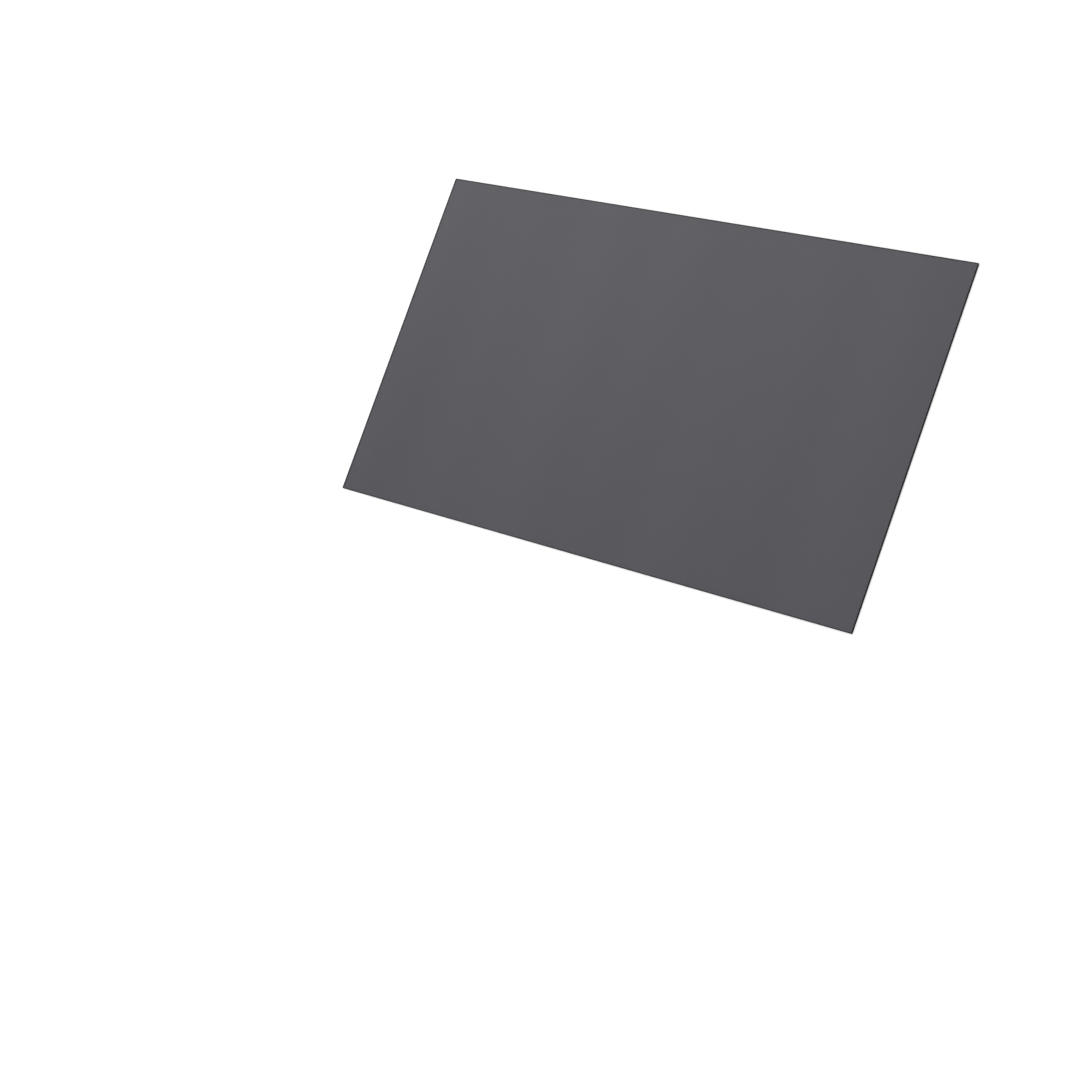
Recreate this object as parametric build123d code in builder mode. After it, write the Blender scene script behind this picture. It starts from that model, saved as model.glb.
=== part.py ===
from build123d import *
import os

# Privacy filter: one flat sheet of dark see-through plastic, cut to a plain 16:9 rectangle.
# It lies on its back face. +X runs along the long edge, +Y towards the top edge, +Z out of the front face,
# and the origin is under the middle of the sheet. Sizes are in millimetres.

# The cut blank
sheet_width = 344.0
sheet_height = 193.5
sheet_thickness = 0.5
corner_radius = 0.5

# The cut edge: the blade rolls the front rim over, and the back rim is only broken
front_rim_radius = 0.12
back_rim_break = 0.04

os.makedirs("parts", exist_ok=True)


# Filter sheet

with BuildPart() as filter_sheet:
    with BuildSketch(Plane.XY) as blank_outline:
        Rectangle(sheet_width, sheet_height)
        fillet(blank_outline.vertices(), corner_radius)
    extrude(amount=sheet_thickness)

    front_rim = filter_sheet.faces().sort_by(Axis.Z)[-1].edges()
    fillet(front_rim, front_rim_radius)

    back_rim = filter_sheet.faces().sort_by(Axis.Z)[0].edges()
    chamfer(back_rim, back_rim_break)

filter_sheet.part.label = "filter_sheet"
export_step(filter_sheet.part, "parts/filter_sheet.step")
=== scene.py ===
"""Finish, studio light and camera for a privacy filter: one dark see-through sheet on a white floor."""

import logging
import math
from dataclasses import dataclass
from enum import Enum

import bpy
from mathutils import Matrix, Vector


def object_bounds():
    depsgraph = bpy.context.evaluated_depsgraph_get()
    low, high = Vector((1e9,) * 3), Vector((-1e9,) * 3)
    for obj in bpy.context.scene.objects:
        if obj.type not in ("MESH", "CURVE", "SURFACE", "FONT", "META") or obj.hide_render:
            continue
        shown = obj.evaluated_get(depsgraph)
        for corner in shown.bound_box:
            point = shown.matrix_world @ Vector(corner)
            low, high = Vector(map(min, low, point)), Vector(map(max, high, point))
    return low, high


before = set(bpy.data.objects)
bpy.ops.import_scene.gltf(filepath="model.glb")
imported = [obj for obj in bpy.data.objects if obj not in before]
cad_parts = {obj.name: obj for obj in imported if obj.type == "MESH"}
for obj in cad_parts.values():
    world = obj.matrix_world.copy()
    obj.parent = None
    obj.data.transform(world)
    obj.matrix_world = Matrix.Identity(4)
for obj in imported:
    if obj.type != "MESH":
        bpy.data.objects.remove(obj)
cad_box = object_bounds()

LOG = logging.getLogger("privacy_filter")
MM = 0.001
WHITE = (1.0, 1.0, 1.0, 1.0)

# The curve that the colours of a picture are stored with: a straight toe, then a power
CHANNEL_TOP = 255.0
TOE_END = 0.04045
TOE_SLOPE = 12.92
CURVE_OFFSET = 0.055
CURVE_POWER = 2.4

Colour = tuple[float, float, float]


class SeenBy(Enum):
    """The kinds of ray that meet the plain white backdrop instead of the studio's own light."""

    CAMERA = "Is Camera Ray"
    GLOSS = "Is Glossy Ray"
    SEE_THROUGH = "Is Transmission Ray"


class Ramp(Enum):
    """How a number is carried from one range to another."""

    STRAIGHT = "LINEAR"
    EASED = "SMOOTHSTEP"


class NoiseSpace(Enum):
    """Whether noise changes over a plane or through a solid."""

    PLANE = "2D"
    SOLID = "3D"


def linear(red: int, green: int, blue: int) -> Colour:
    """Turn a colour as it looks in a picture into the renderer's linear light.

    Args:
        red: Red, from 0 to 255.
        green: Green, from 0 to 255.
        blue: Blue, from 0 to 255.

    Returns:
        The three channels in linear light, from 0 to 1.
    """
    def one(value: int) -> float:
        """Straighten one channel.

        Args:
            value: The channel, from 0 to 255.

        Returns:
            The channel in linear light.
        """
        share = value / CHANNEL_TOP
        if share <= TOE_END:
            return share / TOE_SLOPE
        return ((share + CURVE_OFFSET) / (1.0 + CURVE_OFFSET)) ** CURVE_POWER

    return one(red), one(green), one(blue)


class NodeBoard:
    """A node tree with short ways to add nodes, set their inputs and wire them up."""

    MIX_FIRST = 6
    MIX_SECOND = 7
    MIX_RESULT = 2

    def __init__(self, tree: bpy.types.NodeTree) -> None:
        """Keep the tree and empty it."""
        self.tree = tree
        self.tree.nodes.clear()

    def add(self, kind: str, **settings: object) -> bpy.types.Node:
        """Add one node.

        Args:
            kind: Blender's name for the type of node.
            settings: Properties of the node, such as an operation.

        Returns:
            The new node.
        """
        node = self.tree.nodes.new(kind)
        for name, value in settings.items():
            setattr(node, name, value)
        return node

    def feed(self, node: bpy.types.Node, socket: str | int, value: object) -> None:
        """Link an output to an input of a node, or set the input to a plain value.

        Args:
            node: The node that takes the value.
            socket: The input's name or number.
            value: An output socket of another node, or a plain value.
        """
        if isinstance(value, bpy.types.NodeSocket):
            self.tree.links.new(value, node.inputs[socket])
        else:
            node.inputs[socket].default_value = value

    def own_place(self) -> bpy.types.NodeSocket:
        """Give each point's place in the object's own frame."""
        return self.add("ShaderNodeTexCoord").outputs["Object"]

    def split(self, vector: bpy.types.NodeSocket) -> bpy.types.NodeOutputs:
        """Take a place or a direction apart.

        Args:
            vector: The output that holds it.

        Returns:
            The outputs X, Y and Z.
        """
        node = self.add("ShaderNodeSeparateXYZ")
        self.feed(node, 0, vector)
        return node.outputs

    def math(self, operation: str, *values: object) -> bpy.types.NodeSocket:
        """Work out one number.

        Args:
            operation: Blender's name for the sum.
            values: The numbers or outputs that go into it.

        Returns:
            The output that holds the result.
        """
        node = self.add("ShaderNodeMath", operation=operation)
        for index, value in enumerate(values):
            self.feed(node, index, value)
        return node.outputs[0]

    def remap(self, value: object, start: object, end: object, low: object, high: object,
              ramp: Ramp = Ramp.STRAIGHT) -> bpy.types.NodeSocket:
        """Carry a number from one range to another.

        Args:
            value: The number.
            start: Where the first range begins.
            end: Where the first range ends.
            low: What start becomes.
            high: What end becomes.
            ramp: The curve between them.

        Returns:
            The output that holds the result.
        """
        node = self.add("ShaderNodeMapRange", interpolation_type=ramp.value)
        for index, number in enumerate((value, start, end, low, high)):
            self.feed(node, index, number)
        return node.outputs[0]

    def scale(self, vector: object, factor: object) -> bpy.types.NodeSocket:
        """Multiply a place or a colour by one number.

        Args:
            vector: Three numbers, or an output that holds them.
            factor: The number, or an output that holds it.

        Returns:
            The output that holds the result.
        """
        node = self.add("ShaderNodeVectorMath", operation="SCALE")
        self.feed(node, 0, vector)
        self.feed(node, "Scale", factor)
        return node.outputs[0]

    def noise(self, space: NoiseSpace, place: bpy.types.NodeSocket,
              detail: object) -> bpy.types.NodeSocket:
        """Add smooth noise whose features are about one unit across.

        Args:
            space: Whether it changes over a plane or through a solid.
            place: Where it is read, with the size of a feature as the unit.
            detail: How many finer layers are added to it.

        Returns:
            The output that holds the noise, from 0 to 1.
        """
        node = self.add("ShaderNodeTexNoise", noise_dimensions=space.value)
        self.feed(node, "Vector", place)
        self.feed(node, "Scale", 1.0)
        self.feed(node, "Detail", detail)
        return node.outputs["Fac"]

    def blend(self, share: object, first: object, second: object) -> bpy.types.NodeSocket:
        """Mix two colours.

        Args:
            share: How much of the second colour there is, from 0 to 1.
            first: The first colour.
            second: The second colour.

        Returns:
            The output that holds the mixed colour.
        """
        node = self.add("ShaderNodeMix", data_type="RGBA")
        self.feed(node, "Factor", share)
        self.feed(node, self.MIX_FIRST, first)
        self.feed(node, self.MIX_SECOND, second)
        return node.outputs[self.MIX_RESULT]

    def glow(self, strength: object) -> bpy.types.NodeSocket:
        """Add plain white light.

        Args:
            strength: Its strength, 1 being white, or an output that holds it.

        Returns:
            The output that holds the light.
        """
        node = self.add("ShaderNodeEmission")
        self.feed(node, "Color", WHITE)
        self.feed(node, "Strength", strength)
        return node.outputs[0]


class EffectGroup:
    """A named shader node group with its own inputs and outputs."""

    def __init__(self, name: str, inputs: dict[str, float], outputs: tuple[str, ...]) -> None:
        """Make the group, its sockets and its two end nodes.

        Args:
            name: The group's name.
            inputs: Each input's name and the value that it starts with.
            outputs: The names of the outputs, which are all plain numbers.
        """
        self.tree = bpy.data.node_groups.new(name, "ShaderNodeTree")
        self.board = NodeBoard(self.tree)
        for title, value in inputs.items():
            socket = self.tree.interface.new_socket(title, in_out="INPUT", socket_type="NodeSocketFloat")
            socket.default_value = value
        for title in outputs:
            self.tree.interface.new_socket(title, in_out="OUTPUT", socket_type="NodeSocketFloat")
        self.start = self.board.add("NodeGroupInput")
        self.end = self.board.add("NodeGroupOutput")

    def take_in(self, title: str) -> bpy.types.NodeSocket:
        """Read one of the group's inputs."""
        return self.start.outputs[title]

    def put_out(self, title: str, value: bpy.types.NodeSocket) -> None:
        """Send a number to one of the group's outputs."""
        self.board.feed(self.end, title, value)

    def place(self, board: NodeBoard, **values: float) -> bpy.types.Node:
        """Put the group into a material.

        Args:
            board: The material's nodes.
            values: Input values, with underscores for the spaces in their names.

        Returns:
            The group's node in that material.
        """
        node = board.add("ShaderNodeGroup", node_tree=self.tree)
        for title, value in values.items():
            board.feed(node, title.replace("_", " "), value)
        return node


def louvre_bands() -> EffectGroup:
    """Build the faint bands that run up the sheet, where the louvres inside it stand closer or wider.

    Returns:
        A group whose Band is 0 to 1 across the sheet, and hardly changes along the louvres.
    """
    group = EffectGroup("louvre_bands", {"Width": 10.0 * MM, "Length": 100.0 * MM}, ("Band",))
    board = group.board
    spot = board.split(board.own_place())
    stretched = board.add("ShaderNodeCombineXYZ")
    board.feed(stretched, "X", board.math("DIVIDE", spot["X"], group.take_in("Width")))
    board.feed(stretched, "Y", board.math("DIVIDE", spot["Y"], group.take_in("Length")))
    group.put_out("Band", board.noise(NoiseSpace.PLANE, stretched.outputs[0], 0.0))
    return group


def coat_grain() -> EffectGroup:
    """Build the fine even grain of an anti-glare hard coat.

    Returns:
        A group whose Grain is 0 to 1.
    """
    group = EffectGroup("coat_grain", {"Size": 1.0 * MM, "Detail": 2.0}, ("Grain",))
    board = group.board
    fineness = board.math("DIVIDE", 1.0, group.take_in("Size"))
    spot = board.scale(board.own_place(), fineness)
    group.put_out("Grain", board.noise(NoiseSpace.SOLID, spot, group.take_in("Detail")))
    return group


def cut_edge() -> EffectGroup:
    """Build the mask of the blade's cut round the sheet and of the bruised rim beside it.

    The rim is wider along the left and right cuts, which run with the louvres and leave the last open.

    Returns:
        A group whose Cut is 1 on the cut edge and its rim, and 0 on the rest of the faces.
    """
    # Each tilt is how far a surface faces up or down: 0 for an upright wall, 1 for a level face
    inputs = {
        "Face Tilt": 0.98,
        "Edge Tilt": 0.8,
        "Half Width": 100.0 * MM,
        "Half Height": 100.0 * MM,
        "Dark To": 0.1 * MM,
        "Clear From": 0.2 * MM,
        "Louvre": 0.1 * MM,
    }
    group = EffectGroup("cut_edge", inputs, ("Cut",))
    board = group.board
    facing = board.split(board.add("ShaderNodeNewGeometry").outputs["True Normal"])
    tilt = board.math("ABSOLUTE", facing["Z"])
    wall = board.remap(tilt, group.take_in("Edge Tilt"), group.take_in("Face Tilt"), 1.0, 0.0, Ramp.EASED)

    spot = board.split(board.own_place())
    from_side = board.math("SUBTRACT", group.take_in("Half Width"), board.math("ABSOLUTE", spot["X"]))
    from_end = board.math("SUBTRACT", group.take_in("Half Height"), board.math("ABSOLUTE", spot["Y"]))
    past_louvre = board.math("SUBTRACT", from_side, group.take_in("Louvre"))
    inward = board.math("MINIMUM", past_louvre, from_end)
    rim = board.remap(inward, group.take_in("Dark To"), group.take_in("Clear From"), 1.0, 0.0, Ramp.EASED)
    group.put_out("Cut", board.math("MAXIMUM", wall, rim))
    return group


@dataclass(frozen=True)
class FilmFinish:
    """Dark louvre film under a satin hard coat.

    Attributes:
        name: The material's name.
        body: The film's own colour.
        edge: The colour of the cut edge, where the black louvres show end on.
        face_opacity: How much of what is behind it one face hides. A look through the sheet meets two.
        edge_opacity: The same for the cut edge.
        ior: Refractive index of the clear skins.
        shine: How strongly the coat mirrors. 0.5 is bare plastic, and an anti-glare coat is lower.
        roughness: Roughness of the hard coat.
        edge_roughness: Roughness of the cut.
        rim_fade: Distances in from the cut over which its bruised rim fades from sight.
        open_louvre: How much wider the rim is along the left and right cuts, where a louvre lies open.
        haze: How far the grain moves the roughness, up and down.
        band_tone: How far the bands move the colour, up and down, as a share of it.
        band_span: The values of the bands between which the colour moves that far.
        band_width: Width of a band.
        band_length: Length over which a band changes.
        grain_size: Size of the coat's grain.
        grain_height: Height of the coat's grain.
        grain_strength: How much of that height shows.
    """

    name: str = "louvre_film"
    body: Colour = linear(65, 63, 73)
    edge: Colour = linear(10, 10, 11)
    face_opacity: float = 0.63
    edge_opacity: float = 1.0
    ior: float = 1.5
    shine: float = 0.25
    roughness: float = 0.34
    edge_roughness: float = 0.9
    rim_fade: tuple[float, float] = (0.25 * MM, 0.55 * MM)
    open_louvre: float = 0.2 * MM
    haze: float = 0.03
    band_tone: float = 0.06
    band_span: tuple[float, float] = (0.3, 0.7)
    band_width: float = 40.0 * MM
    band_length: float = 500.0 * MM
    grain_size: float = 0.5 * MM
    grain_height: float = 0.002 * MM
    grain_strength: float = 0.35

    def material(self, half_width: float, half_height: float) -> bpy.types.Material:
        """Make the material.

        Args:
            half_width: From the middle of the sheet to its left and right cuts.
            half_height: From the middle of the sheet to its top and bottom cuts.

        Returns:
            A material for the whole sheet, faces and cut edge.
        """
        material = bpy.data.materials.new(self.name)
        material.use_nodes = True
        board = NodeBoard(material.node_tree)
        bands = louvre_bands().place(board, Width=self.band_width, Length=self.band_length)
        grain = coat_grain().place(board, Size=self.grain_size).outputs["Grain"]
        dark_to, clear_from = self.rim_fade
        edges = cut_edge().place(board, Half_Width=half_width, Half_Height=half_height,
                                 Dark_To=dark_to, Clear_From=clear_from, Louvre=self.open_louvre)
        cut = edges.outputs["Cut"]

        dimmest = 1.0 - self.band_tone
        brightest = 1.0 + self.band_tone
        tone = board.remap(bands.outputs["Band"], *self.band_span, dimmest, brightest)
        colour = board.blend(cut, board.scale(self.body, tone), (*self.edge, 1.0))
        coat = board.remap(grain, 0.0, 1.0, self.roughness - self.haze, self.roughness + self.haze)
        rough = board.remap(cut, 0.0, 1.0, coat, self.edge_roughness)
        opacity = board.remap(cut, 0.0, 1.0, self.face_opacity, self.edge_opacity)
        bump = board.add("ShaderNodeBump")
        board.feed(bump, "Strength", self.grain_strength)
        board.feed(bump, "Distance", self.grain_height)
        board.feed(bump, "Height", grain)

        shader = board.add("ShaderNodeBsdfPrincipled")
        board.feed(shader, "Base Color", colour)
        board.feed(shader, "Roughness", rough)
        board.feed(shader, "Normal", bump.outputs[0])
        board.feed(shader, "IOR", self.ior)
        board.feed(shader, "Specular IOR Level", self.shine)
        board.feed(shader, "Alpha", opacity)
        output = board.add("ShaderNodeOutputMaterial")
        board.feed(output, "Surface", shader.outputs[0])
        return material


@dataclass
class FilterSheet:
    """The filter: one flat sheet, as the frame holds it.

    Attributes:
        node: The sheet's object in the frame.
        slot: The record's name for its finish. It is not used.
        finish: What it is made of.
    """

    node: bpy.types.Object
    slot: str = "dark_film"
    finish: FilmFinish = FilmFinish()

    def dress(self) -> None:
        """Give the sheet its finish."""
        # The middle of the sheet is over the origin, so its far corner gives half its width and height
        far_corner = cad_box[1]
        self.node.data.materials.clear()
        self.node.data.materials.append(self.finish.material(far_corner.x, far_corner.y))


def put_in_scene(name: str, data: bpy.types.ID) -> bpy.types.Object:
    """Make an object for the studio.

    Args:
        name: The object's name.
        data: Its mesh, lamp or camera.

    Returns:
        The object, linked into the scene.
    """
    item = bpy.data.objects.new(name, data)
    bpy.context.scene.collection.objects.link(item)
    return item


def seen_directly(board: NodeBoard) -> bpy.types.NodeSocket:
    """Tell the rays that should meet the white backdrop from those that carry light.

    Args:
        board: The nodes of the floor or the world.

    Returns:
        An output that is 1 for the rays named in SeenBy and 0 for the others.
    """
    path = board.add("ShaderNodeLightPath")
    total = path.outputs[SeenBy.CAMERA.value]
    for kind in (SeenBy.GLOSS, SeenBy.SEE_THROUGH):
        total = board.math("MAXIMUM", total, path.outputs[kind.value])
    return total


@dataclass
class Floor:
    """A white floor that is matt by the sheet, so that it takes a shadow, and runs out into plain white.

    Attributes:
        side: Length of each side.
        drop: How far it lies below the sheet, so that the two faces don't coincide.
        colour: The matt floor's colour.
        lift: Light that the floor adds by itself for rays that see it directly, 1 being white.
        matt_to: Distance from the middle up to which the floor is matt.
        white_from: Distance from the middle beyond which it is plain white.
    """

    side: float = 30.0
    drop: float = 0.03 * MM
    colour: Colour = (0.92, 0.92, 0.92)
    lift: float = 0.18
    matt_to: float = 0.26
    white_from: float = 0.8

    def build(self) -> bpy.types.Object:
        """Make the floor.

        Returns:
            The floor's object.
        """
        half = self.side / 2
        mesh = bpy.data.meshes.new("floor")
        corners = [(x * half, y * half, 0.0) for x, y in ((-1, -1), (1, -1), (1, 1), (-1, 1))]
        mesh.from_pydata(corners, [], [(0, 1, 2, 3)])
        mesh.materials.append(self.material())
        floor = put_in_scene("floor", mesh)
        floor.location.z = cad_box[0].z - self.drop
        return floor

    def material(self) -> bpy.types.Material:
        """Make the floor's material.

        Returns:
            A matt white that turns into plain white far from the sheet.
        """
        material = bpy.data.materials.new("white_floor")
        material.use_nodes = True
        board = NodeBoard(material.node_tree)
        direct = seen_directly(board)
        matt = board.add("ShaderNodeBsdfDiffuse")
        board.feed(matt, "Color", (*self.colour, 1.0))
        lifted = board.add("ShaderNodeAddShader")
        board.feed(lifted, 0, matt.outputs[0])
        board.feed(lifted, 1, board.glow(board.math("MULTIPLY", direct, self.lift)))

        reach = board.add("ShaderNodeVectorMath", operation="LENGTH")
        board.feed(reach, 0, board.own_place())
        far = board.remap(reach.outputs["Value"], self.matt_to, self.white_from, 0.0, 1.0, Ramp.EASED)
        mix = board.add("ShaderNodeMixShader")
        board.feed(mix, 0, board.math("MULTIPLY", far, direct))
        board.feed(mix, 1, lifted.outputs[0])
        board.feed(mix, 2, board.glow(1.0))
        output = board.add("ShaderNodeOutputMaterial")
        board.feed(output, "Surface", mix.outputs[0])
        return material


@dataclass
class SoftLamp:
    """A square softbox that points at the middle of the sheet, from behind its top left corner.

    Attributes:
        name: The lamp's name.
        place: Where its middle is.
        side: Length of each side.
        power: Its power in watts.
    """

    name: str = "key_softbox"
    place: tuple[float, float, float] = (-1.3, 1.0, 1.5)
    side: float = 1.4
    power: float = 14.0

    def build(self) -> bpy.types.Object:
        """Make the lamp.

        Returns:
            The lamp's object.
        """
        data = bpy.data.lights.new(self.name, "AREA")
        data.shape = "SQUARE"
        data.size = self.side
        data.energy = self.power
        lamp = put_in_scene(self.name, data)
        lamp.location = self.place
        lamp.rotation_mode = "QUATERNION"
        lamp.rotation_quaternion = (-Vector(self.place)).to_track_quat("-Z", "Y")
        return lamp


@dataclass
class Surroundings:
    """Even light from all round, in front of a plain white backdrop.

    Attributes:
        light: Strength of the even light.
        backdrop: Strength of the backdrop where it is seen, 1 being white.
    """

    light: float = 0.79
    backdrop: float = 1.0

    def build(self) -> bpy.types.World:
        """Make the world.

        Returns:
            The scene's world.
        """
        world = bpy.data.worlds.new("white_studio")
        world.use_nodes = True
        board = NodeBoard(world.node_tree)
        strength = board.remap(seen_directly(board), 0.0, 1.0, self.light, self.backdrop)
        background = board.add("ShaderNodeBackground")
        board.feed(background, "Color", WHITE)
        board.feed(background, "Strength", strength)
        output = board.add("ShaderNodeOutputWorld")
        board.feed(output, "Surface", background.outputs[0])
        bpy.context.scene.world = world
        return world


@dataclass
class PhotoCamera:
    """The photograph's camera, in the sheet's own frame.

    Attributes:
        aim: The place on the front face's plane that is at the middle of the picture, as X and Y.
        distance: From the camera to that place.
        azimuth: Direction from that place to the camera, in degrees from -Y towards +X.
        elevation: The same direction's height above the sheet, in degrees.
        roll: Turn about the line of sight, in degrees, seen from the camera and clockwise.
        lens: Focal length for a sensor of the given width, in millimetres.
        sensor: Width of the sensor, in millimetres.
    """

    aim: tuple[float, float] = (-24.77 * MM, -94.40 * MM)
    distance: float = 1174.11 * MM
    azimuth: float = 81.693
    elevation: float = 52.798
    roll: float = 63.684
    lens: float = 72.819
    sensor: float = 36.0

    def build(self) -> bpy.types.Object:
        """Make the camera and hand it to the scene.

        Returns:
            The camera's object.
        """
        turn = math.radians(self.azimuth)
        rise = math.radians(self.elevation)
        level = math.cos(rise)
        towards = Vector((math.sin(turn) * level, -math.cos(turn) * level, math.sin(rise)))
        place = Vector((*self.aim, cad_box[1].z)) + towards * self.distance
        upright = (-towards).to_track_quat("-Z", "Y").to_matrix().to_4x4()
        rolled = upright @ Matrix.Rotation(-math.radians(self.roll), 4, "Z")
        data = bpy.data.cameras.new("photo_camera")
        data.lens = self.lens
        data.sensor_width = self.sensor
        camera = put_in_scene("photo_camera", data)
        camera.matrix_world = Matrix.Translation(place) @ rolled
        bpy.context.scene.camera = camera
        return camera


def main() -> None:
    """Dress the sheet, then set up the studio and the camera."""
    logging.basicConfig(level=logging.INFO, format="%(name)s: %(message)s")
    sheet = FilterSheet(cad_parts["filter_sheet"])
    sheet.dress()
    LOG.info("dressed %s", sheet.node.name)
    for stage in (Floor(), SoftLamp(), Surroundings(), PhotoCamera()):
        LOG.info("built %s", stage.build().name)
    bpy.context.scene.view_settings.view_transform = "Standard"


if __name__ == "__main__":
    main()
